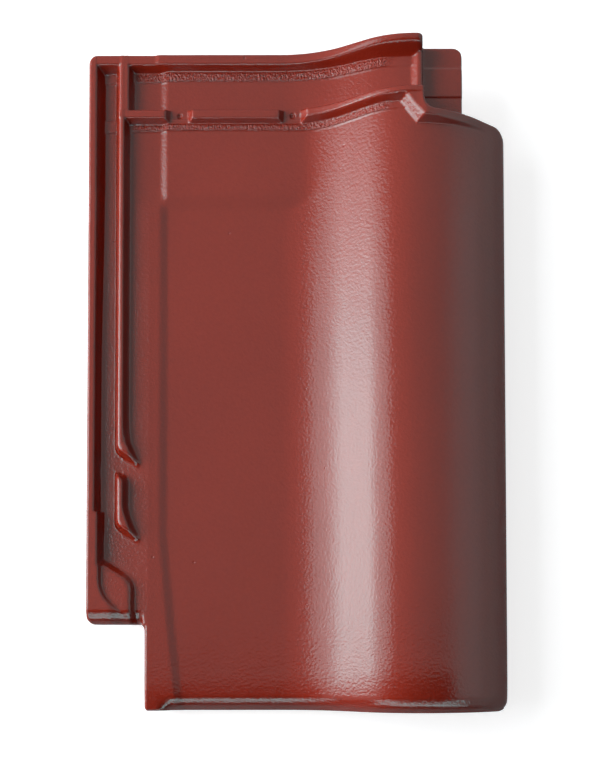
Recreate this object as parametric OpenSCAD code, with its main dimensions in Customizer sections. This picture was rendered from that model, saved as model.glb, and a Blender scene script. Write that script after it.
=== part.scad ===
// Interlocking clay roof tile: a flat pan on the left, a roll on the right, a side lock
// along the left edge and a double-ribbed head lock. One pressed and fired piece.
// X runs across the tile, Y from the tail to the head, Z up from the floor it lies on.

/* [Overall] */
// Length from the front of the tail to the back of the head
tile_length = 488; // [460:1:520]
// Width from the outer rim of the side lock to the cover edge
tile_width = 309; // [300:1:325]
// Covered width, the pitch of tiles laid side by side
cover_width = 267; // [262:1:270]
// Wall thickness of the pressed clay
wall = 11; // [9:0.5:13]
// Depth of the nibs and the nose below the underside of the pan
stand = 13; // [10:0.5:18]

/* [Roll] */
// Rise of the crest above the pan
roll_rise = 38; // [34:0.5:42]
// Distance from the crest to the cover edge
crest_to_edge = 69.5; // [64:0.5:74]
// Radius of the flank, from the crest to the cover edge
flank_radius = 95; // [90:1:110]
// Radius of the shoulder, from the crest to the slope
shoulder_radius = 58; // [50:1:66]
// Radius of the valley between the pan and the slope
valley_radius = 80; // [68:1:86]
// Steepest angle of the slope between the valley and the shoulder
slope_angle = 36; // [34:1:40]
// Height of the underside of the cover edge above the pan
edge_clear = 2; // [1:0.5:4]

/* [Side lock] */
// Rise of the rims and ribs of both locks above the pan
lock_rise = 10; // [8:0.5:12]
// Depth of the groove floor below the pan
groove_drop = 1; // [0:0.5:2]
// Wall under the groove floor
groove_wall = 9; // [7:0.5:11]
// Width of the top of the outer rim
rim_w = 5; // [4:0.5:7]
// Run of the drafted side of a rim or rib
draft_run = 3.4; // [2:0.2:4]
// Width of the groove floor
groove_w = 9.4; // [7:0.2:12]
// Width of the top of the rib
rib_w = 3.4; // [2.5:0.1:5]
// Extra width of the rim below its step
rim_step_w = 1.6; // [0.8:0.2:2.4]
// Distance from the head to the step in the rim
rim_step_at = 340; // [320:1:360]

/* [Drain gaps] */
// Distance from the head to the foot of the long rib
rib_foot_at = 296; // [270:1:310]
// Width of the drain gap below the long rib
drain_gap = 16; // [10:0.5:20]
// Length of the short rib below the gap
short_rib = 40; // [30:1:50]
// Sideways flare of a rib's foot
foot_flare = 9; // [4:0.5:12]
// Length of the flared foot
foot_len = 18; // [12:1:24]
// Skew of a rib's end, in degrees
foot_skew = 30; // [15:1:40]

/* [Groove outlet] */
// Length of the block that closes the groove, from the end of the lock
block_len = 43; // [36:1:50]
// Width of the block at the end of the lock
block_w = 31; // [28:0.5:34]
// Fall of the slanted wall that turns the water on to the pan
block_slant = 16; // [10:0.5:20]
// Depth of the hollow in the top of the block
hollow_deep = 4.5; // [2:0.25:6]
// Run of the sloped end of the lock
lock_slope_run = 7; // [4:0.5:9]
// Fall of the sloped end of the lock
lock_slope_fall = 6; // [3:0.5:7]

/* [Pan] */
// Rise of the margin beside the lock
margin_rise = 2; // [1:0.25:3]
// Width of the margin
margin_w = 18.5; // [14:0.5:22]
// Run of the bank between the margin and the pan
margin_bank = 9; // [5:0.5:12]
// Rise of the landing that runs from the head groove to below the inner rib
landing_rise = 3; // [1:0.25:4]
// Length of the landing below the inner rib
landing_len = 50; // [40:1:60]
// Run of the ramp from the landing to the pan
landing_ramp = 13; // [8:0.5:20]

/* [Head lock] */
// Width of the head rim
head_rim_w = 8; // [6:0.5:10]
// Rise of the head rim over the crest, above the pan
crest_rim_rise = 39.5; // [36:0.5:44]
// Rise of the head groove's floor over the crest, above the pan
crest_floor_rise = 25; // [20:0.5:28]
// Distance from the head to the back of the inner rib
inner_rib_at = 40; // [36:0.5:46]
// Width of the inner rib
inner_rib_w = 6.5; // [5:0.5:9]
// Width of the rib that carries the side rib on between the head ribs
head_post_w = 9; // [7:0.5:11]
// Length of the corner cut at the cover side of the head
head_cut_len = 57.5; // [50:0.5:64]
// Width of the corner cut, from the cover edge
head_cut_w = 62.5; // [56:0.5:66]
// Width of the inner rib on the flank
flank_rib_w = 8; // [6:0.5:10]
// Distance from the cover edge at which that rib has faded out
flank_rib_fade = 12; // [4:1:20]
// Width of the block where the inner rib steps back over the crest, at its back
crest_block_w = 17; // [13:0.5:20]
// Slant of that block's side towards the tail
crest_block_slant = 12; // [6:0.5:12]
// Width of the wall that ends the head groove
groove_end_w = 5.5; // [4:0.5:8]
// Height of that wall's top above the pan
groove_end_rise = 29.5; // [27:0.5:33]
// Width of the ledge in the corner cut
ledge_w = 30; // [24:0.5:36]
// Height of the ledge above the pan
ledge_rise = 20; // [16:0.5:24]
// Rise of each of the two steps on the ledge
ledge_step = 1.2; // [0.5:0.1:2]
// Radius of the corner of the head and the lock
corner_r = 6; // [3:0.5:8]

/* [Tail] */
// Thickness of the nose along the tail
nose_w = 9; // [7:0.5:12]
// Radius of the rounded front of the tail
nose_r = 10; // [5:0.5:12]
// Distance from the left end of the pan to the nose
nose_inset = 10; // [6:0.5:16]
// Depth of the nose below the top at the cover edge
nose_edge_deep = 14; // [10:0.5:20]
// Length of the corner cut at the lock side of the tail
tail_cut_len = 63.5; // [56:0.5:68]

/* [Nibs] */
// Width of a hanging nib
nib_w = 30; // [20:1:40]
// Thickness of a hanging nib, along the tile
nib_len = 14; // [10:0.5:18]
// Distance from the head to the face that hangs on the batten
batten_at = 30; // [26:0.5:36]
// Distance from the lock's outer rim to the middle of the left nib
left_nib_at = 90; // [80:1:100]
// Distance between the middles of the nibs
nib_pitch = 95; // [85:1:105]

/* [Cover rib] */
// Width of the rib under the flank that hangs in the next tile's groove
cover_rib_w = 4.5; // [3:0.25:6]
// Clearance between that rib and the next tile's groove floor
cover_rib_clear = 3; // [2:0.5:5]

/* [Cross rib] */
// Length over which the tile above overlaps this one
head_lap = 90; // [84:1:100]
// Width of the rib under the tail that hangs in the next tile's head groove
cross_rib_w = 7; // [5:0.5:10]
// Depth of that rib below the underside
cross_rib_deep = 7; // [4:0.5:9]

/* [Nail holes] */
// Diameter of the pre-formed nail holes
nail_d = 4.5; // [3.5:0.1:6]
// Skin left under a nail hole, to be knocked through
nail_skin = 2.5; // [1.5:0.5:4]
// Distance from the head to the nail holes
nail_at = 43.5; // [41:0.5:46]
// Distance from the lock's outer rim to the left nail hole
left_nail_at = 67; // [60:0.5:74]
// Distance between the nail holes
nail_pitch = 84.5; // [78:0.5:90]
// Width of the gap in the inner rib, at the floor
nail_gap_w = 11.5; // [8:0.5:14]
// Run of each sloped side of the gap
nail_gap_bank = 4.6; // [2:0.2:6]

/* [Hidden] */

clay = [0.52, 0.25, 0.22];
overrun = 1;        // how far a cut runs past what it cuts
sink = 2;           // how far an added rib is sunk into the body
arc_step = 4;       // degrees between the points of an arc
hollow_corner_share = 0.55;
hollow_edge_share = 0.2;
ledge_step_shares = [0.28, 0.66];

left = -tile_width / 2;
right = tile_width / 2;
head = tile_length / 2;
tail = -tile_length / 2;
pan_z = wall + stand;
lock_z = pan_z + lock_rise;
groove_z = pan_z - groove_drop;
under_z = pan_z - wall;
pan_left = right - cover_width;
lock_end = tail + tail_cut_len;

// Side lock, from the outer rim towards the pan
rim_foot = left + rim_w + draft_run;
rib_left = rim_foot + groove_w;
rib_right = rib_left + 2 * draft_run + rib_w;
margin_left = rib_right + draft_run;
margin_right = margin_left + margin_w;
panel_left = margin_right + margin_bank;

// Roll: the slope is a straight line between the valley's and the shoulder's arcs
crest_x = right - crest_to_edge;
slope_rise = roll_rise - (shoulder_radius + valley_radius) * (1 - cos(slope_angle));
slope_run = slope_rise / tan(slope_angle);
roll_left = crest_x - slope_run - (shoulder_radius + valley_radius) * sin(slope_angle);
shoulder_z = pan_z + roll_rise - shoulder_radius;
flank_z = pan_z + roll_rise - flank_radius;
edge_z = pan_z + edge_clear;

// Head lock
groove_back = head - head_rim_w;
rib_back = head - inner_rib_at;
rib_front = rib_back - inner_rib_w;
cut_x = right - head_cut_w;
cut_y = head - head_cut_len;
flank_rib_front = cut_y - flank_rib_w;
landing_z = pan_z + landing_rise;
post_x = rib_left + draft_run + head_post_w;
nail_xs = [left + left_nail_at, left + left_nail_at + nail_pitch];
ledge_z = pan_z + ledge_rise;

function arc(x, z, r, from, to) =
    let (n = ceil(abs(to - from) / arc_step))
    [for (i = [0:n]) let (a = from + (to - from) * i / n) [x + r * cos(a), z + r * sin(a)]];

// The angle on an arc about the crest's line at which it reaches a distance from it
function reach(run, r) = 90 - asin(run / r);

// Points of the roll from the pan to the cover edge, inset by a wall for the underside
function roll_line(inset, end_angle) = concat(
    arc(roll_left, pan_z + valley_radius, valley_radius + inset, -90, slope_angle - 90),
    arc(crest_x, shoulder_z, shoulder_radius - inset, slope_angle + 90, 90),
    arc(crest_x, flank_z, flank_radius - inset, 90, end_angle)
);

roll_top = roll_line(0, reach(crest_to_edge, flank_radius));
roll_under = roll_line(wall, asin((edge_z - flank_z) / (flank_radius - wall)));

function reversed(points) = [for (i = [len(points) - 1:-1:0]) points[i]];
function lifted(points, rise) = [for (p = points) [p[0], p[1] + rise]];

// The top line of the tile with the lock and the landing left off, flat to the left of the roll
wave = concat([[left, pan_z]], roll_top);

// The wave drawn flatter over the head, from its rise on the flat to its rise on the crest
function head_line(flat, crest) =
    [for (p = wave) [p[0], pan_z + flat + (crest - flat) * (p[1] - pan_z) / roll_rise]];

head_rim_line = head_line(lock_rise, crest_rim_rise);
head_floor_line = head_line(landing_rise, crest_floor_rise);
head_under_line = head_line(-wall, crest_floor_rise - wall);

// A prism along Y with its section drawn in X and Z
module along_tile(from, to) {
    translate([0, to, 0]) rotate([90, 0, 0]) linear_extrude(to - from) children();
}

// A band that follows the wave, between two heights above it
module wave_band(from, to, low, high) {
    along_tile(from, to) polygon(concat(lifted(wave, high), reversed(lifted(wave, low))));
}

// A band between two lines that run across the tile
module line_band(from, to, low, high) {
    along_tile(from, to) polygon(concat(high, reversed(low)));
}

// The part of a shape between two lines across the tile
module between(from, to) {
    intersection() {
        children();
        translate([from, tail - overrun, -overrun])
            cube([to - from, tile_length + 2 * overrun, lock_z + roll_rise + 2 * overrun]);
    }
}

// Everything below the middle of the wall under a line, to trim what hangs from the underside
module below_wall(line) {
    along_tile(tail, head) polygon(concat([[left, 0]], lifted(line, -wall / 2), [[right, 0]]));
}

// Pan, roll and the floor of the side lock in one section, lowered to the head groove's floor
module shell() {
    difference() {
        along_tile(tail, head) polygon(concat(
            [[left, groove_z], [rib_left, groove_z], [margin_left, pan_z + margin_rise],
             [margin_right, pan_z + margin_rise], [panel_left, pan_z]],
            roll_top,
            [[right, edge_z]],
            reversed(roll_under),
            [[rib_right, under_z], [rib_left, groove_z - groove_wall], [left, groove_z - groove_wall]]
        ));
        between(roll_left, right + overrun)
            line_band(rib_back, head + overrun, head_floor_line, lifted(head_floor_line, roll_rise));
    }
    between(margin_right, cut_x) {
        line_band(rib_front, head, head_under_line, head_floor_line);
        line_band(rib_front, rib_back, head_under_line, wave);
    }
}

// Raised landing of the pan, the floor of the head groove, ramped down to the pan
module landing() {
    front = rib_front - landing_len;
    long = roll_left + valley_radius / 2 - margin_right;
    translate([margin_right, 0, 0]) rotate([90, 0, 90]) linear_extrude(long)
        polygon([[head, pan_z - sink], [head, landing_z], [front, landing_z],
                 [front - landing_ramp, pan_z], [front - landing_ramp, pan_z - sink]]);
}

// Outer rim of the side lock, wider below its step
module side_rim() {
    difference() {
        union() {
            along_tile(lock_end, head) rim_section(rim_w);
            along_tile(lock_end, head - rim_step_at) rim_section(rim_w + rim_step_w);
        }
        lock_slope(block_w);
    }
}

module rim_section(w) {
    polygon([[left, groove_z - sink], [left, lock_z], [left + w, lock_z],
             [left + w + draft_run, groove_z - sink]]);
}

module rib_section(flare) {
    polygon([[rib_left, groove_z - sink], [rib_left + draft_run, lock_z],
             [rib_left + draft_run + rib_w + flare / 2, lock_z], [rib_right + flare, groove_z - sink]]);
}

// A run of the inner side rib whose foot flares towards the pan and ends on a skew
module side_rib(from, to) {
    difference() {
        union() {
            along_tile(to + foot_len, from) rib_section(0);
            hull() {
                along_tile(to + foot_len, to + foot_len + overrun) rib_section(0);
                along_tile(to - foot_len, to - foot_len + overrun) rib_section(foot_flare);
            }
        }
        translate([rib_left, to, groove_z - sink]) rotate([0, 0, -foot_skew])
            translate([-foot_len, -3 * foot_len, -overrun])
                cube([4 * foot_len, 3 * foot_len, lock_rise + groove_drop + sink + 2 * overrun]);
    }
}

module side_ribs() {
    foot = head - rib_foot_at;
    side_rib(head - head_rim_w, foot);
    side_rib(foot - drain_gap, foot - drain_gap - short_rib);
}

// Block that closes the groove at the end of the lock and turns its water on to the pan
module groove_outlet() {
    top = lock_end + block_len;
    inner = rim_foot - left;
    wide_rim = rim_w + rim_step_w;
    corner = block_slant / 4;
    difference() {
        translate([left, 0, groove_z - sink]) linear_extrude(lock_z - groove_z + sink)
            polygon([[0, lock_end], [0, top], [inner, top], [block_w - corner, top - block_slant],
                     [block_w, top - block_slant - corner], [block_w, lock_end]]);
        translate([left, 0, lock_z - hollow_deep]) linear_extrude(hollow_deep + overrun)
            polygon([[wide_rim, top + overrun], [wide_rim, lock_end + block_len * hollow_corner_share],
                     [block_w + overrun, lock_end + block_len * hollow_edge_share],
                     [block_w + overrun, top + overrun]]);
        lock_slope(block_w);
    }
}

// What is taken off the end of the lock by its slope, over a width from the outer rim
module lock_slope(w) {
    past = lock_slope_fall * overrun / lock_slope_run;
    translate([left - overrun, 0, lock_z]) rotate([90, 0, 90]) linear_extrude(w + 2 * overrun)
        polygon([[lock_end - overrun, -lock_slope_fall - past], [lock_end + lock_slope_run, 0],
                 [lock_end + lock_slope_run + overrun, past], [lock_end - overrun, past]]);
}

// Head rim, inner rib, the wall that ends the groove and the block over the crest
module head_ribs() {
    between(left, cut_x)
        line_band(groove_back, head, lifted(head_floor_line, -landing_rise - sink), head_rim_line);
    difference() {
        between(rib_left + draft_run, cut_x) wave_band(rib_front, rib_back, -sink, lock_rise);
        for (x = nail_xs) nail_gap(x);
    }
    between(rib_left + draft_run, post_x) wave_band(rib_front, head, -sink, lock_rise);
    groove_end();
    intersection() {
        wave_band(flank_rib_front, rib_back, -sink, lock_rise);
        linear_extrude(lock_z + roll_rise + overrun) polygon([
            [cut_x - crest_block_w, rib_back], [cut_x - crest_block_w, rib_front],
            [cut_x - crest_block_w + crest_block_slant, flank_rib_front - overrun],
            [cut_x, flank_rib_front - overrun], [cut_x, rib_back]]);
    }
}

// Low wall that ends the head groove at the corner cut, from the inner rib to the head rim
module groove_end() {
    low = ledge_z - groove_wall;
    translate([cut_x - groove_end_w, rib_front, low])
        cube([groove_end_w, head - rib_front, pan_z + groove_end_rise - low]);
}

function flank_rib_rise(x) =
    lock_rise * max(0, min(1, (right - flank_rib_fade - x) / (head_cut_w - flank_rib_fade)));

// The inner rib carried on over the flank, fading out towards the cover edge
module flank_rib() {
    flank = [for (p = roll_top) if (p[0] > crest_x) p];
    along_tile(flank_rib_front, cut_y) polygon(concat(
        [for (p = flank) [p[0], p[1] + flank_rib_rise(p[0])]],
        reversed(lifted(flank, -sink))
    ));
}

// Gap in the inner rib at a nail hole, with sloped sides down to the landing
module nail_gap(x) {
    half = nail_gap_w / 2;
    translate([x, 0, 0]) along_tile(rib_front - overrun, rib_back + overrun)
        polygon([[-half, pan_z - sink - overrun], [half, pan_z - sink - overrun], [half, landing_z],
                 [half + nail_gap_bank, lock_z + overrun], [-half - nail_gap_bank, lock_z + overrun],
                 [-half, landing_z]]);
}

module nail_hole(x) {
    translate([x, head - nail_at, under_z + nail_skin])
        cylinder(d = nail_d, h = wall + lock_rise, $fn = 48);
}

// Lowered ledge in the corner cut, walled to the roll and to the flank rib
module corner_ledge() {
    floor_z = ledge_z - groove_wall;
    long = head - flank_rib_front;
    intersection() {
        below_wall(wave);
        translate([cut_x - groove_wall, flank_rib_front, floor_z]) union() {
            cube([groove_wall, rib_back - flank_rib_front, roll_rise]);
            cube([ledge_w + groove_wall, flank_rib_w, roll_rise]);
        }
    }
    difference() {
        translate([cut_x - groove_wall, flank_rib_front, floor_z])
            cube([ledge_w + groove_wall, long, groove_wall]);
        for (i = [0:len(ledge_step_shares) - 1])
            translate([cut_x, cut_y, ledge_z - (i + 1) * ledge_step])
                cube([ledge_w + overrun, head_cut_len * (1 - ledge_step_shares[i]), ledge_rise]);
    }
}

// Nose along the tail, shallower on the flank
module nose() {
    deep = wall + stand;
    top = [for (p = concat([[pan_left + nose_inset, pan_z]], roll_top)) p];
    bottom = [for (p = top) let (share = max(0, (p[0] - crest_x) / crest_to_edge))
              [p[0], p[1] - deep + (deep - nose_edge_deep) * share]];
    along_tile(tail, tail + nose_w) polygon(concat(top, reversed(bottom)));
}

// Everything above a plane that leans on the tail's rounded front and follows the wave, with its
// own facets between the wave's
module tail_slope(angle) {
    last = len(wave) - 1;
    lean = concat([for (i = [1:last]) (wave[i - 1] + wave[i]) / 2], [wave[last]]);
    translate([0, tail + nose_r, pan_z - nose_r + nose_r / cos(angle)]) rotate([angle, 0, 0])
        along_tile(-3 * nose_r, nose_r) polygon(concat(
            [[left - overrun, 0]],
            [for (p = lean) [p[0], (p[1] - pan_z) * cos(angle)]],
            [[right + overrun, 0], [right + overrun, 2 * roll_rise], [left - overrun, 2 * roll_rise]]
        ));
}

// A hanging nib, from the underside of the pan or of the slope down to the floor
module nib(x) {
    intersection() {
        translate([x - nib_w / 2, head - batten_at, 0]) cube([nib_w, nib_len, pan_z + roll_rise]);
        below_wall(head_floor_line);
    }
}

// Rib under the flank that hangs in the groove of the next tile
module cover_rib() {
    middle = rim_foot + groove_w / 2 + cover_width;
    low = groove_z + cover_rib_clear;
    intersection() {
        translate([middle - cover_rib_w / 2, tail + nose_w, low])
            cube([cover_rib_w, flank_rib_front - tail - nose_w, roll_rise]);
        below_wall(wave);
    }
}

// Rib under the tail that hangs in the head groove of the tile below
module cross_rib() {
    middle = tail + head_lap - (head_rim_w + inner_rib_at) / 2;
    between(pan_left + nose_inset, cut_x - groove_end_w - cover_rib_clear)
        wave_band(middle - cross_rib_w / 2, middle + cross_rib_w / 2, -wall - cross_rib_deep, -wall / 2);
}

// Corner cuts that keep four tiles from piling up where they meet
module corner_cuts() {
    tall = lock_z + 2 * roll_rise;
    translate([left - overrun, tail - overrun, -overrun])
        cube([pan_left - left + overrun, tail_cut_len + overrun, tall]);
    translate([cut_x, cut_y, -overrun]) cube([head_cut_w + overrun, head_cut_len + overrun, tall]);
}

// What lies outside a rounded corner, where the corner's quarter points along the given signs
module corner_waste(x, y, sign_x, sign_y) {
    translate([x, y, -overrun]) difference() {
        translate([sign_x > 0 ? -corner_r : -overrun, sign_y > 0 ? -corner_r : -overrun, 0])
            cube([corner_r + overrun, corner_r + overrun, lock_z + 2 * roll_rise]);
        translate([-sign_x * corner_r, -sign_y * corner_r, -overrun])
            cylinder(r = corner_r, h = lock_z + 2 * roll_rise + 2 * overrun, $fn = 64);
    }
}

module roof_tile() {
    color(clay) difference() {
        union() {
            difference() {
                union() {
                    shell();
                    landing();
                    side_rim();
                    side_ribs();
                    head_ribs();
                }
                corner_cuts();
            }
            groove_outlet();
            flank_rib();
            corner_ledge();
            nose();
            nib(left + left_nib_at);
            nib(left + left_nib_at + nib_pitch);
            cover_rib();
            cross_rib();
        }
        for (x = nail_xs) nail_hole(x);
        for (angle = [30, 60]) tail_slope(angle);
        corner_waste(left, head, -1, 1);
        corner_waste(left, lock_end, -1, -1);
        corner_waste(right, tail, 1, -1);
        corner_waste(right, cut_y, 1, 1);
    }
}

roof_tile();
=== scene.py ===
from math import radians

import bmesh
import bpy
import numpy as np
from mathutils import Euler, Matrix, Vector


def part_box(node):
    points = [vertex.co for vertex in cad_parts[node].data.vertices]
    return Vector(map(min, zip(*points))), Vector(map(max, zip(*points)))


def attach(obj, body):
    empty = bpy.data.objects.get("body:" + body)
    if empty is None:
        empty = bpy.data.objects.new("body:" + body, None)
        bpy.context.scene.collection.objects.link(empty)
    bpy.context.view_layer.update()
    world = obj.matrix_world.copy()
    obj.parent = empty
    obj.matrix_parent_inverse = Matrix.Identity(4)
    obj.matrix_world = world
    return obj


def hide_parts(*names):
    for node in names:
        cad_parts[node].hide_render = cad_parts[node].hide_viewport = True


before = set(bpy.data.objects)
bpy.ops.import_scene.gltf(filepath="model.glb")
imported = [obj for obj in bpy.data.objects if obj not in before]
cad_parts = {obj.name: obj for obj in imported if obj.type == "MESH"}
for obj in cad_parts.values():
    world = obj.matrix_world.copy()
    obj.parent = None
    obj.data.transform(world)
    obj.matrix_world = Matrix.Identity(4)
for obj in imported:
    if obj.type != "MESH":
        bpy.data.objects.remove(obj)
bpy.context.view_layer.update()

# Camera: it hangs over the tail end and tips a little towards the head. A rising front keeps
# the long sides of the tile near parallel, as they are in the photograph.
scene = bpy.context.scene
scene.view_settings.view_transform = "Standard"
camera = bpy.data.objects.new("camera", bpy.data.cameras.new("camera"))
camera.data.lens = 48.7
camera.data.sensor_width = 36
camera.data.shift_y = 0.28
camera.location = (0.0024, -0.1932, 0.8005)
camera.rotation_euler = (radians(2.0), 0, radians(-0.04))
scene.collection.objects.link(camera)
scene.camera = camera

# The tile: one piece of red clay, extruded as a flat bat, pressed between an upper and a lower
# die, glazed dark red on its weather face and fired. It hangs on a batten by its two nibs.
# All lengths of the two dies are in millimetres, in the frame of the CAD part.
low, high = [1000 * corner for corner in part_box("roof_tile")]
LEFT, TAIL, RIGHT, HEAD = low.x, low.y, high.x, high.y
WALL, PAN_Z, LOCK_Z, COVER_UNDER_Z = 11.0, 24.0, 34.0, 26.0
CREST_X, ROLL_RISE = 85.0, 38.0
PAN_LEFT, LOCK_END = -112.5, -180.5
RIB_LEFT, RIB_MIDDLE, RIB_RIGHT = -133.4, -129.5, -126.2
RIB_FRONT, RIB_BACK, RIB_RISE = 195.0, 203.4, 10
CUT_X, CUT_Y, LEDGE_RIGHT = 92.0, 186.5, 122.0
NAILS, NAIL_Y = (-87.5, -3.0), 200.5
# Points within a hair of an edge lie on it, and far stands for an edge that isn't there
HAIR, FAR = 0.01, 99


def grid_lines(*zones):
    """Lines of the bat's grid, one zone after another: where a zone starts and its spacing."""
    lines = []
    for (start, step), (end, _) in zip(zones, zones[1:]):
        count = max(1, round((end - start) / step))
        lines.extend(start + (end - start) * i / count for i in range(count))
    return np.array(lines + [zones[-1][0]])


across = grid_lines(
    (LEFT, 0.5), (-150, 0.75), (-116, 0.9), (PAN_LEFT, 0.6), (-110, 1.4), (-99, 0.9),
    (-92.5, 0.6), (-82.5, 0.9), (-76, 3.7), (-50, 1), (-49, 4.4), (-14, 0.9), (-8, 0.6), (2, 1),
    (9, 1.5), (15, 1), (16, 1.8), (45, 1), (46, 1.8), (74, 0.75), (94, 1.8), (119.5, 0.5),
    (LEDGE_RIGHT, 1), (128, 1.7), (143.5, 1.3), (150, 0.56), (RIGHT, 1))
along = grid_lines(
    (TAIL, 0.5), (-240, 0.8), (-226, 3.2), (-188, 1.1), (LOCK_END, 0.6), (-174, 1), (-124, 1.1),
    (-46, 6), (112, 2), (148, 2.3), (176, 0.7), (CUT_Y, 0.65), (208, 1.4), (213.5, 1),
    (214.5, 1.5), (225, 0.7), (240, 0.5), (HEAD, 1))


def ease(t, start, end):
    """0 before the start, 1 past the end, and a smooth rise between them."""
    t = np.clip((t - start) / (end - start), 0, 1)
    return t * t * (3 - 2 * t)


def strip(t, start, full, fading, end):
    """1 along a strip, with a smooth rise and fall at its two ends."""
    return ease(t, start, full) * (1 - ease(t, fading, end))


def blend_max(a, b, reach):
    """The higher of two heights or distances, with the corner between them rounded."""
    near = np.maximum(reach - np.abs(a - b), 0) / reach
    return np.maximum(a, b) + near * near * reach / 4


def blend_min(a, b, reach):
    """The lower of two heights or distances, with the corner between them rounded."""
    return -blend_max(-a, -b, reach)


def roll_rise(x, inset=0.0):
    """Height of the roll above the pan: valley, slope, shoulder and flank in one line.
    The inset moves the line into the clay, for the underside."""
    flank, shoulder, valley = 95.0, 58.0, 80.0
    slope = radians(36)
    straight = (ROLL_RISE - (shoulder + valley) * (1 - np.cos(slope))) / np.tan(slope)
    start = CREST_X - straight - (shoulder + valley) * np.sin(slope)
    valley, shoulder, flank = valley + inset, shoulder - inset, flank - inset
    valley_end = start + valley * np.sin(slope)
    shoulder_start = CREST_X - shoulder * np.sin(slope)
    foot = valley * (1 - np.cos(slope)) - inset
    top = ROLL_RISE - inset
    return np.select(
        [x < start, x < valley_end, x < shoulder_start, x < CREST_X],
        [np.full_like(x, -inset),
         valley - inset - np.sqrt(np.maximum(valley ** 2 - (x - start) ** 2, 0)),
         foot + (x - valley_end) * np.tan(slope),
         top - shoulder + np.sqrt(np.maximum(shoulder ** 2 - (x - CREST_X) ** 2, 0))],
        top - flank + np.sqrt(np.maximum(flank ** 2 - (x - CREST_X) ** 2, 0)))


def wall(out, rise, slope, crown, fillet):
    """Height of a drafted wall at a distance outside its middle line, rounded by the crown's
    radius at the top and the fillet's at the foot. On a low wall both radii shrink to fit."""
    slope = np.radians(slope)
    spare = 1.02
    fit = np.maximum(rise, 1e-6) / ((crown + fillet) * (1 - np.cos(slope)) * spare)
    crown, fillet = crown * np.minimum(1, fit), fillet * np.minimum(1, fit)
    half_run = rise / 2 / np.tan(slope)
    top = -half_run - crown * np.tan(slope / 2)
    foot = half_run + fillet * np.tan(slope / 2)
    height = rise / 2 - out * np.tan(slope)
    on_crown = out < top + crown * np.sin(slope)
    on_fillet = out > foot - fillet * np.sin(slope)
    crown_z = rise - crown + np.sqrt(np.maximum(crown ** 2 - np.maximum(out - top, 0) ** 2, 0))
    fillet_z = fillet - np.sqrt(np.maximum(fillet ** 2 - np.maximum(foot - out, 0) ** 2, 0))
    return np.where(on_crown, crown_z, np.where(on_fillet, fillet_z, height))


def turned(x, y, at_x, at_y, angle):
    """Distance from a line through a point; the angle is the direction that counts as outside."""
    return (x - at_x) * np.cos(radians(angle)) + (y - at_y) * np.sin(radians(angle))


def fine_line(off, rise, half_width):
    """Height of the fine line that a joint of the die leaves, at a distance off its middle."""
    return rise * np.exp(-(off / half_width) ** 2)


def rounded_off(inside, radius):
    """Fall of an edge that is rounded over, at a distance inside it."""
    short = np.clip(radius - inside, 0, radius)
    return radius - np.sqrt(np.maximum(radius ** 2 - short ** 2, 0))


def sloped_edge(inside, run, slope, front, steep):
    """Fall of an edge that slopes off and then drops steeply over a narrow front."""
    start_round, front_round = 1.0, 1.6
    gentle = (run - inside) * np.tan(radians(slope))
    face = (front - inside) * np.tan(radians(steep)) + (run - front) * np.tan(radians(slope))
    return blend_max(blend_max(np.zeros_like(inside), gentle, start_round), face, front_round)


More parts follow.
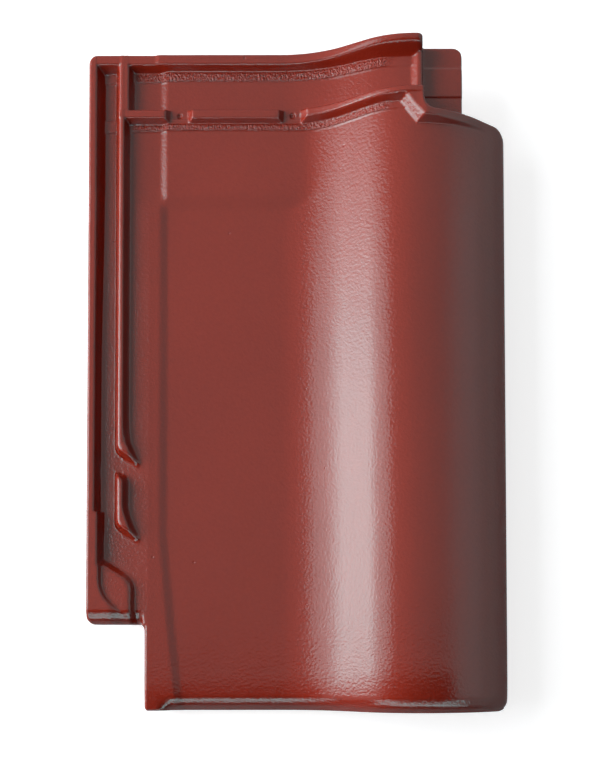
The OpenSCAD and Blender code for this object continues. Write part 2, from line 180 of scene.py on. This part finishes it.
def upper_die(x, y, edges):
    """Height of the weather face, and how coarse its glaze is, at each point of the bat."""
    roll = roll_rise(x)

    # Floor: groove, margin beside the lock, pan and the landing under the head ribs. The crease
    # between margin and pan swings inwards towards the tail, and is sharper beside the landing
    groove_drop, margin_rise, landing_rise, groove_crest_rise = 1, 2, 3, 22
    margin_foot, margin_run, margin_dip, landing_foot, landing_edge = -143, 33, 1.2, 128, 143
    crease_x, crease_half, crease_pinch = -99.2, 4, 0.6
    crease_swing, swing_from, swing_run = 11.5, -110, 122
    crease = crease_x + crease_swing * np.clip((swing_from - y) / swing_run, 0, 1.1) ** 1.2
    lift = ease(y, landing_foot, landing_edge)
    landing = landing_rise * lift
    margin = (groove_drop + margin_rise) * np.clip((x - margin_foot) / margin_run, 0, 1)
    beside = -groove_drop + margin - margin_dip * lift * ease(x, -125, -108)
    bank = ease(x, crease - crease_half + crease_pinch * lift,
                crease + crease_half - crease_pinch * lift)
    pan = (landing ** 4 + np.maximum(roll, 0) ** 4) ** 0.25
    head_groove = landing_rise + groove_crest_rise / ROLL_RISE * roll
    pan = pan + (head_groove - pan) * ease(y, 199, 202)
    floor = PAN_Z + beside + (pan - margin_rise + margin_dip * lift) * bank
    z = floor

    def stand_on_floor(z, height, reach=1.0):
        return blend_max(z, floor + height - reach / 4, reach)

    def raise_wall(z, out, to, slope, crown, fillet, reach=1.0):
        return stand_on_floor(z, wall(out, to - floor, slope, crown, fillet), reach)

    def raise_lock_rib(z, out, pan_slope, pan_fillet):
        """The inner rib of the side lock: steep and round-backed to the groove, sharper and
        with a wide fillet to the pan."""
        to_pan = x > RIB_MIDDLE
        return raise_wall(z, out, LOCK_Z, slope=np.where(to_pan, pan_slope, 73),
                          crown=np.where(to_pan, 1.4, 3.6),
                          fillet=np.where(to_pan, pan_fillet, 2.2))

    # Side lock: outer rim with its step and pad, then the inner rib in two runs with flared feet
    rim_x, rim_lean, rim_step, rim_step_y, pad_drop = -147.2, 1.2, 2.6, -97, 0.4
    to_head = ease(y, 0, 150)
    wide = ease(-y, 96.5, 97.5)
    pad = strip(y, 112, 118, 140, 146)
    rim_out = x - rim_x - rim_lean * to_head - rim_step * wide
    rim_top = LOCK_Z - pad_drop * pad + fine_line(y - rim_step_y, rise=0.4, half_width=0.8)
    z = raise_wall(z, rim_out, rim_top, slope=73 - 10 * to_head - 3 * wide, crown=1.6, fillet=2.5)
    rib_runs, run_x = ((260, -52), (-68, -108)), -134.2
    flare_wide, flare_lead, flare_run = 8.5, 16, 24
    for start, foot in rib_runs:
        flare = flare_wide * np.clip((foot + flare_lead - y) / flare_run, 0, 1) ** 1.6
        out = blend_max(RIB_LEFT - x, x - RIB_RIGHT - flare, reach=1.5)
        out = blend_max(out, turned(x, y, at_x=run_x, at_y=foot, angle=-120), reach=5)
        out = blend_max(out, turned(x, y, at_x=run_x, at_y=start, angle=60), reach=2.5)
        z = raise_lock_rib(z, out, pan_slope=67, pan_fillet=5.5)

    # Outlet block: a pocket with a slanted wall that rises into the plateau at the lock's end
    pocket_z, pocket_rise, plateau_drop, least_rise = 29.8, 1.2, 2.8, 0.2
    pocket = pocket_z + pocket_rise * np.clip((x + 147) / 20, 0, 1)
    shelf_out = blend_min(turned(x, y, at_x=-139.5, at_y=-162.5, angle=50), rim_out, reach=9)
    shelf_rise = np.maximum(LOCK_Z - plateau_drop * ease(x, -139, -127) - pocket, least_rise)
    shelf = pocket + wall(shelf_out, shelf_rise, slope=62, crown=1.5, fillet=2.0)
    block_out = blend_max(turned(x, y, at_x=-142.5, at_y=-134.5, angle=58.3), x + 120.8, reach=7)
    z = raise_wall(z, block_out, shelf, slope=53, crown=4.0,
                   fillet=np.where(x > -127, 4.5, 2.2), reach=0.3)

    # Head lock: head rim, inner rib with its two nail gaps, and the post that joins them. A bead
    # of thick glaze lies along the foot of both ribs, and the press left a fine line on each
    rim_front, rim_bow, rim_crest_rise, rim_end_drop = 234.6, 1.3, 28.5, 5
    rim_line_y, rib_line_y, line_rise, line_half = 237.6, 197.2, 0.3, 0.55
    nail_gap_half, beads, bead_rise, bead_reach = 8.0, (226.0, 188.6), 1.3, 9
    post_right, rib_middle_y = -123.0, 200
    rim_top = LOCK_Z + rim_crest_rise / ROLL_RISE * roll + ease(x, -105, -102.5)
    rim_top = rim_top - rim_end_drop * np.clip((x - 86) / 6, 0, 1) ** 3
    rim_line = fine_line(y - rim_line_y - roll / 29, line_rise * ease(x, -104, -96), line_half)
    z = raise_wall(z, rim_front + rim_bow / ROLL_RISE * roll - y, rim_top + rim_line, slope=65,
                   crown=1.2 + roll / 8, fillet=1.4)
    rib_rise = PAN_Z + roll + RIB_RISE + fine_line(y - rib_line_y, line_rise, line_half) - floor
    rib = wall(RIB_FRONT - y, rib_rise, slope=68, crown=1.6 + roll / 14, fillet=1.2)
    rib = np.minimum(rib, wall(np.maximum(y - RIB_BACK, RIB_LEFT - x), rib_rise, slope=74,
                               crown=2.2, fillet=2.0))
    for nail in NAILS:
        gap = wall(nail_gap_half - np.abs(x - nail), rib_rise, slope=56, crown=2.0, fillet=1.5)
        rib = blend_min(rib, gap, reach=0.8)
    z = stand_on_floor(z, rib)
    for bead in beads:
        beaded = raise_wall(z, bead - y, floor + bead_rise, slope=48, crown=0.8, fillet=0.6,
                            reach=0.4)
        z = np.where(y < bead + bead_reach, beaded, z)
    post_out = np.maximum(np.maximum(x - post_right, RIB_LEFT - x), rib_middle_y - y)
    z = raise_lock_rib(z, post_out, pan_slope=68, pan_fillet=5.0)

    # Over the crest the groove ends in a low wall and the rib steps back to run down the flank
    groove_end_x, groove_end_rise, flank_rib_front, flank_rib_drop = 85.4, 29.5, 178.9, 1.5
    end_out = np.maximum(groove_end_x - x, rib_middle_y - y)
    z = raise_wall(z, end_out, PAN_Z + groove_end_rise, slope=40, crown=1.4, fillet=1.4)
    fade = np.clip((142 - x) / 50, 0, 1)
    step_rise = (roll + PAN_Z + (RIB_RISE - flank_rib_drop * (1 - ease(x, 84, 96))) * fade
                 - floor)
    slant = turned(x, y, at_x=74.9, at_y=195.9, angle=218)
    step = np.minimum(wall(slant, step_rise, slope=55, crown=3.0, fillet=2.4),
                      wall(flank_rib_front - y, step_rise, slope=72, crown=1.6, fillet=2.0))
    step = np.minimum(step, wall(y - RIB_BACK, step_rise, slope=74, crown=2.0, fillet=2.0))
    z = stand_on_floor(z, step)

    # Corner cut at the head, with the lowered ledge that the next tile's lock lies on
    ledge_z, ledge_step, ledge_fall, least_cut = 42.4, 1.2, 0.8, 1.0
    ledge = ledge_z + ledge_step * ease(y, 205.6, 207.2) - ledge_fall * ease(y, 227.0, 229.0)
    cut_out = blend_min(x - CUT_X, y - CUT_Y - 0.4, reach=9)
    cut = ledge + wall(cut_out, np.maximum(z - ledge, least_cut), slope=85, crown=1.6, fillet=2.2)
    z = np.where((x > 84) & (y > 180) & (x < LEDGE_RIGHT + HAIR), cut, z)

    # Nail holes, formed blind in the floor of the two gaps and half filled with glaze
    glaze_z, hole_radius, dimple_reach = 25.8, 1.6, 5
    for nail in NAILS:
        away = np.hypot(x - nail, y - NAIL_Y)
        hole = glaze_z + wall(hole_radius - away, np.maximum(z - glaze_z, 0.8), slope=52,
                              crown=0.9, fillet=0.6)
        z = np.where(away < dimple_reach, np.minimum(z, hole), z)

    # Trimmed edges, rounded over
    drop = np.zeros_like(x)
    for inside, radius in edges:
        drop = np.hypot(drop, rounded_off(inside, radius))
    z = z - drop

    # The tail sinks a little and slopes off to its nose, and the end of the lock slopes off too
    sink, flank_thinning, flank_run = 0.003, 0.42, 69.5
    z = z - sink * np.clip(-219 + roll / 4 - y, 0, 25) ** 2
    down_flank = np.clip((x - CREST_X) / flank_run, 0, 1)
    nose = sloped_edge(y - TAIL, run=9.8, slope=28, front=4.2, steep=53)
    nose = nose * (1 - flank_thinning * down_flank)
    thin = rounded_off(y - TAIL, radius=1.6)
    nosed = ease(x, -104, -90)
    z = z - np.where(x > PAN_LEFT - HAIR, nose * nosed + thin * (1 - nosed), 0)
    sloped = z - sloped_edge(y - LOCK_END, run=9.8, slope=32, front=3.2, steep=55)
    z = sloped + (z - sloped) * ease(x, PAN_LEFT - 5, PAN_LEFT)

    # Glaze gathers and crinkles on the beads below the two head ribs
    grain = np.maximum(strip(y, 226.6, 227.6, 232.4, 233.6), strip(y, 189.2, 190.2, 193.2, 194.4))
    grain = grain * ease(x, -124, -118) * (1 - ease(x, 60, 72))
    return z, grain


def lower_die(x, y):
    """Height of the underside, with the nose, nibs and the ribs that hang in other tiles."""
    roll = roll_rise(x)
    groove_under_rise, lock_lift, cover_lip_x = 25, 1.0, 143.8
    under = PAN_Z + roll_rise(x, WALL)
    lowered = PAN_Z - WALL + groove_under_rise / ROLL_RISE * roll
    under = under + (np.minimum(lowered, under) - under) * ease(y, 196.5, 198.5)
    under = np.where(x > cover_lip_x, COVER_UNDER_Z, under)
    under = under + lock_lift * (1 - ease(x, -137, -127))

    # Each part that hangs below it: how far a point lies inside that part, and the part's foot
    nose_left, nose_wide, nose_deep, nose_edge_lift = -103, 9, 24, 10
    down_flank = np.clip((x - CREST_X) / (RIGHT - CREST_X), 0, 1)
    from_back = TAIL + nose_wide - y
    nose_in = np.minimum(from_back, (x - nose_left) * 0.8 + from_back * 0.2)
    hung = [(nose_in, PAN_Z + roll - nose_deep + nose_edge_lift * down_flank)]
    nib_y, nib_half_width, nib_half_length = 221, 15, 7
    for nib_x in (-64.5, 30.5):
        nib_in = np.minimum(nib_half_width - np.abs(x - nib_x),
                            nib_half_length - np.abs(y - nib_y))
        hung.append((nib_in, 0.0))
    cross_y, cross_half, cross_deep, cross_left, cross_right = -178, 3.5, 18, -102.5, 83.5
    cross_in = np.minimum(cross_half - np.abs(y - cross_y),
                          np.minimum(x - cross_left, cross_right - x))
    hung.append((cross_in, PAN_Z + roll - cross_deep))
    cover_x, cover_half, cover_end = 125.6, 2.25, 178.5
    cover_in = np.minimum(cover_half - np.abs(x - cover_x),
                          np.minimum(y - TAIL - nose_wide, cover_end - y))
    hung.append((cover_in, COVER_UNDER_Z))
    ledge_left, ledge_past, ledge_under_z = 83, 1, 35.0
    ledge_in = np.minimum(np.minimum(x - ledge_left, LEDGE_RIGHT + ledge_past - x),
                          y - cover_end)
    hung.append((ledge_in, ledge_under_z))
    z = under
    for inside, foot in hung:
        z = np.where(inside >= -HAIR, np.minimum(z, foot), z)
    return z


bat = bmesh.new()
grain_layer = bat.verts.layers.float.new("grain")
bmesh.ops.create_grid(bat, x_segments=len(across) - 1, y_segments=len(along) - 1, size=1)
for v in bat.verts:
    v.co.x = across[round((v.co.x + 1) / 2 * (len(across) - 1))]
    v.co.y = along[round((v.co.y + 1) / 2 * (len(along) - 1))]
offcuts = []
for f in bat.faces:
    middle = f.calc_center_median()
    in_tail_cut = middle.x < PAN_LEFT and middle.y < LOCK_END
    in_head_cut = middle.x > LEDGE_RIGHT and middle.y > CUT_Y
    if in_tail_cut or in_head_cut:
        offcuts.append(f)
bmesh.ops.delete(bat, geom=offcuts, context="FACES")
lifted = bmesh.ops.extrude_face_region(bat, geom=bat.faces[:])["geom"]
upper = [g for g in lifted if isinstance(g, bmesh.types.BMVert)]
is_upper = set(upper)
lower = [v for v in bat.verts if v not in is_upper]
for verts, is_top in ((upper, True), (lower, False)):
    x = np.array([v.co.x for v in verts])
    y = np.array([v.co.y for v in verts])
    # How far each point lies inside each trimmed edge, and that edge's rounding
    edges = [
        (x - LEFT, 2.2),
        (HEAD - y, 2.2),
        (np.where(x > LEDGE_RIGHT - HAIR, RIGHT - x, FAR), 2.6),
        (np.where(y > CUT_Y - HAIR, LEDGE_RIGHT - x, FAR), 1.6),
        (np.where(x > LEDGE_RIGHT - HAIR, CUT_Y - y, FAR), 2.0),
        (np.where(y < LOCK_END + HAIR, x - PAN_LEFT, FAR), 2.0),
    ]
    # Rounded corners of the trimmed outline
    for corner_x, corner_y, sign_x, sign_y, radius in (
            (LEFT, HEAD, -1, 1, 7), (LEFT, LOCK_END, -1, -1, 6), (PAN_LEFT, TAIL, -1, -1, 3),
            (RIGHT, TAIL, 1, -1, 8), (RIGHT, CUT_Y, 1, 1, 9), (LEDGE_RIGHT, HEAD, 1, 1, 7)):
        a = (x - corner_x) * sign_x + radius
        b = (y - corner_y) * sign_y + radius
        inside = (a > 0) & (b > 0) & (a < radius + HAIR) & (b < radius + HAIR)
        pull = np.maximum(a, b) / np.maximum(np.hypot(a, b), 1e-9)
        x = np.where(inside, corner_x + (a * pull - radius) * sign_x, x)
        y = np.where(inside, corner_y + (b * pull - radius) * sign_y, y)
    # The inner corner of the tail cut is filled out in a small radius
    filled = 4.5
    on_end = (np.abs(y - LOCK_END) < HAIR) & (x > PAN_LEFT - filled) & (x < PAN_LEFT + HAIR)
    on_side = (np.abs(x - PAN_LEFT) < HAIR) & (y > LOCK_END - filled) & (y < LOCK_END + HAIR)
    from_corner = np.where(on_end, PAN_LEFT - x, y - LOCK_END)
    along_arc = from_corner / filled * radians(45) + radians(45)
    x = np.where(on_end | on_side, PAN_LEFT - filled + filled * np.cos(along_arc), x)
    y = np.where(on_end | on_side, LOCK_END - filled + filled * np.sin(along_arc), y)
    if is_top:
        z, grain = upper_die(x, y, edges)
    else:
        z, grain = lower_die(x, y), np.zeros_like(x)
    for v, vx, vy, vz, coarse in zip(verts, x, y, z, grain):
        v.co = Vector((vx, vy, vz)) / 1000
        v[grain_layer] = coarse
bat.normal_update()
# The plain parts of the underside need no lines of their own
inner = [v for v in lower if not any(e.other_vert(v) in is_upper for e in v.link_edges)]
inner_set = set(inner)
plain = [e for e in bat.edges if e.verts[0] not in is_upper and e.verts[1] not in is_upper
         and (e.verts[0] in inner_set or e.verts[1] in inner_set)]
bmesh.ops.dissolve_limit(bat, angle_limit=radians(0.4), use_dissolve_boundaries=False,
                         verts=inner, edges=plain)
bmesh.ops.recalc_face_normals(bat, faces=bat.faces[:])
mesh = bpy.data.meshes.new("tile_body")
bat.to_mesh(mesh)
bat.free()
mesh.shade_smooth()
mesh.set_sharp_from_angle(angle=radians(60))
tile = bpy.data.objects.new("tile_body", mesh)
scene.collection.objects.link(tile)

# The tile's glaze: a dark iron red, satin to glossy, sprayed on and fired with the clay. It has
# a fine orange-peel skin, a few pin-holes, and crinkles where it gathered. Depths are in metres.
PEEL_DEEP, SWELL_DEEP, CRINKLE_DEEP, PINHOLE_DEEP = 0.00024, 0.0003, 0.0018, 0.0003
glaze = bpy.data.materials.new("dark_red_glaze")
glaze.use_nodes = True
nodes, links = glaze.node_tree.nodes, glaze.node_tree.links
skin = nodes["Principled BSDF"]
skin.inputs["IOR"].default_value = 1.47
skin.inputs["Specular Tint"].default_value = (0.45, 1.0, 1.0, 1)
place = nodes.new("ShaderNodeTexCoord").outputs["Object"]


def noise(at, scale, detail):
    """A cloudy pattern over the glaze, 0 to 1."""
    made = nodes.new("ShaderNodeTexNoise")
    made.inputs["Scale"].default_value = scale
    made.inputs["Detail"].default_value = detail
    links.new(at, made.inputs["Vector"])
    return made.outputs["Fac"]


def remap(value, from_min, from_max, to_min, to_max):
    """Stretch a range of values to another one, and hold it at its two ends."""
    made = nodes.new("ShaderNodeMapRange")
    for socket, number in zip(made.inputs[1:5], (from_min, from_max, to_min, to_max)):
        socket.default_value = number
    links.new(value, made.inputs[0])
    return made.outputs[0]


def combine(operation, a, b):
    """Join two values, each a number or what another node puts out."""
    made = nodes.new("ShaderNodeMath")
    made.operation = operation
    for socket, value in zip(made.inputs, (a, b)):
        if isinstance(value, (int, float)):
            socket.default_value = value
        else:
            links.new(value, socket)
    return made.outputs[0]


drift = combine("MULTIPLY", noise(place, scale=9, detail=3), 0.6)
speckle = combine("MULTIPLY", noise(place, scale=420, detail=2), 0.4)
tone = nodes.new("ShaderNodeValToRGB")
darker, lighter = tone.color_ramp.elements
darker.position, lighter.position = 0.3, 0.7
darker.color, lighter.color = (0.208, 0.0132, 0.0042, 1), (0.244, 0.0168, 0.0058, 1)
links.new(combine("ADD", drift, speckle), tone.inputs["Fac"])
links.new(tone.outputs["Color"], skin.inputs["Base Color"])
rough = remap(noise(place, scale=60, detail=3), 0.3, 0.7, 0.14, 0.18)
links.new(rough, skin.inputs["Roughness"])
peel = combine("ADD", combine("MULTIPLY", noise(place, scale=520, detail=2), PEEL_DEEP),
               combine("MULTIPLY", noise(place, scale=30, detail=2), SWELL_DEEP))
drawn = nodes.new("ShaderNodeMapping")
drawn.inputs["Scale"].default_value = (1.0, 0.6, 0.6)
links.new(place, drawn.inputs["Vector"])
gathered = nodes.new("ShaderNodeAttribute")
gathered.attribute_name = "grain"
wrinkle = combine("MULTIPLY", noise(drawn.outputs["Vector"], scale=700, detail=3), CRINKLE_DEEP)
crinkle = combine("MULTIPLY", wrinkle, gathered.outputs["Fac"])
cells = nodes.new("ShaderNodeTexVoronoi")
cells.inputs["Scale"].default_value = 40
links.new(place, cells.inputs["Vector"])
pinholes = remap(cells.outputs["Distance"], 0.02, 0.05, -PINHOLE_DEEP, 0.0)
relief = nodes.new("ShaderNodeBump")
relief.inputs["Distance"].default_value = 1.0
relief.inputs["Strength"].default_value = 1.0
links.new(combine("ADD", combine("ADD", peel, crinkle), pinholes), relief.inputs["Height"])
links.new(relief.outputs["Normal"], skin.inputs["Normal"])
mesh.materials.append(glaze)
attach(tile, "root")
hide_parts("roof_tile")

# Floor: a plain matt white sheet of paper, laid out under the tile. It is white to the camera
# and pale in the glaze's reflections, and it still takes the tile's soft shadow.
FLOOR_REACH, GLOSS_SHARE = 40, 0.2
sheet = bmesh.new()
bmesh.ops.create_grid(sheet, x_segments=1, y_segments=1, size=FLOOR_REACH)
floor_mesh = bpy.data.meshes.new("floor")
sheet.to_mesh(floor_mesh)
sheet.free()
floor = bpy.data.objects.new("floor", floor_mesh)
scene.collection.objects.link(floor)
paper = bpy.data.materials.new("white_paper")
paper.use_nodes = True
nodes, links = paper.node_tree.nodes, paper.node_tree.links
nodes.remove(nodes["Principled BSDF"])
matt = nodes.new("ShaderNodeBsdfDiffuse")
matt.inputs["Color"].default_value = (0.6, 0.6, 0.6, 1)
glow = nodes.new("ShaderNodeEmission")
ray = nodes.new("ShaderNodeLightPath")
seen = combine("MAXIMUM", ray.outputs["Is Camera Ray"], ray.outputs["Is Transmission Ray"])
seen = combine("MAXIMUM", seen, combine("MULTIPLY", ray.outputs["Is Glossy Ray"], GLOSS_SHARE))
away = nodes.new("ShaderNodeVectorMath")
away.operation = "LENGTH"
links.new(nodes.new("ShaderNodeTexCoord").outputs["Object"], away.inputs[0])
# The lamps light the paper near the tile, and further out its own glow takes over
unlit = remap(away.outputs["Value"], 0.6, 3.0, 0.74, 1.0)
links.new(combine("MULTIPLY", seen, unlit), glow.inputs["Strength"])
both = nodes.new("ShaderNodeAddShader")
links.new(matt.outputs[0], both.inputs[0])
links.new(glow.outputs[0], both.inputs[1])
links.new(both.outputs[0], nodes["Material Output"].inputs["Surface"])
floor_mesh.materials.append(paper)

# Light: a white studio with a weak fill that comes from the lock side, and one wash lamp there
# for the glaze's colour. The other soft boxes show only as reflections in the glaze, and a dark
# card over the tail, with a skirt behind it, keeps the rest of that side dark.
world = bpy.data.worlds.new("studio")
world.use_nodes = True
scene.world = world
nodes, links = world.node_tree.nodes, world.node_tree.links
ray = nodes.new("ShaderNodeLightPath")
seen = combine("MAXIMUM", ray.outputs["Is Camera Ray"], ray.outputs["Is Glossy Ray"])
seen = combine("MAXIMUM", seen, ray.outputs["Is Transmission Ray"])
toward = nodes.new("ShaderNodeTexCoord")
facing = nodes.new("ShaderNodeVectorMath")
facing.operation = "DOT_PRODUCT"
facing.inputs[1].default_value = (-0.8, 0.5, 0.33)
links.new(toward.outputs["Generated"], facing.inputs[0])
fill = remap(facing.outputs["Value"], -0.65, 1, 0.0, 0.6)
links.new(combine("MAXIMUM", fill, seen), nodes["Background"].inputs["Strength"])
nodes["Background"].inputs["Color"].default_value = (1, 1, 1, 1)


def soft_box(name, at, faces, width, height, radiance):
    """A soft box that faces a direction; its brightness is given as it is seen, 1 being white."""
    lamp = bpy.data.lights.new(name, "AREA")
    lamp.shape = "RECTANGLE"
    lamp.size, lamp.size_y = width, height
    lamp.energy = radiance * np.pi * width * height
    lamp.color = (0.97, 1.0, 1.04)
    box = bpy.data.objects.new(name, lamp)
    box.location = at
    box.rotation_euler = Vector(faces).to_track_quat("-Z", "Y").to_euler()
    box.visible_camera = False
    scene.collection.objects.link(box)
    return box


from_lock, from_cover, from_tail = (1, 0, 0), (-0.81, 0, -0.59), (0, 1, -0.4)
wash = soft_box("lock_side_wash", (-1.3, 0.25, 0.84), from_lock, 1.4, 1.64, 7.2)
wash.visible_glossy = False
for shine in (
        soft_box("lock_side_low", (-1.28, 0.09, 0.41), from_lock, 0.8, 0.78, 3.6),
        soft_box("lock_side_middle", (-1.29, 0.09, 0.53), from_lock, 1.1, 1.02, 2.6),
        soft_box("lock_side_high", (-1.3, 0.25, 0.84), from_lock, 1.4, 1.64, 5.7),
        soft_box("lock_side_top", (-1.31, 0.25, 1.12), from_lock, 1.4, 2.2, 2.9),
        soft_box("cover_side_low", (1.3, 0.1, 0.9), from_cover, 1.6, 0.65, 0.26),
        soft_box("cover_side_high", (1.33, 0.1, 0.98), from_cover, 1.6, 1.1, 0.22),
        soft_box("tail_reflector", (0, -1.8, 0.8), from_tail, 3.0, 0.42, 4.8)):
    shine.visible_diffuse = False
card = bmesh.new()
for at, tilt, width, depth in (((0, -0.8, 1.15), 20, 2.2, 0.95), ((0, -1.95, 0.28), 90, 4.0, 0.55)):
    panel = bmesh.ops.create_grid(card, x_segments=1, y_segments=1, size=0.5)["verts"]
    hung_at = Matrix.LocRotScale(at, Euler((radians(tilt), 0, 0)), (width, depth, 1))
    bmesh.ops.transform(card, matrix=hung_at, verts=panel)
card_mesh = bpy.data.meshes.new("dark_card")
card.to_mesh(card_mesh)
card.free()
flag = bpy.data.objects.new("dark_card", card_mesh)
flag.visible_camera = False
scene.collection.objects.link(flag)
felt = bpy.data.materials.new("dark_felt")
felt.use_nodes = True
pile = felt.node_tree.nodes["Principled BSDF"]
pile.inputs["Base Color"].default_value = (0.12, 0.12, 0.12, 1)
pile.inputs["Roughness"].default_value = 1.0
card_mesh.materials.append(felt)
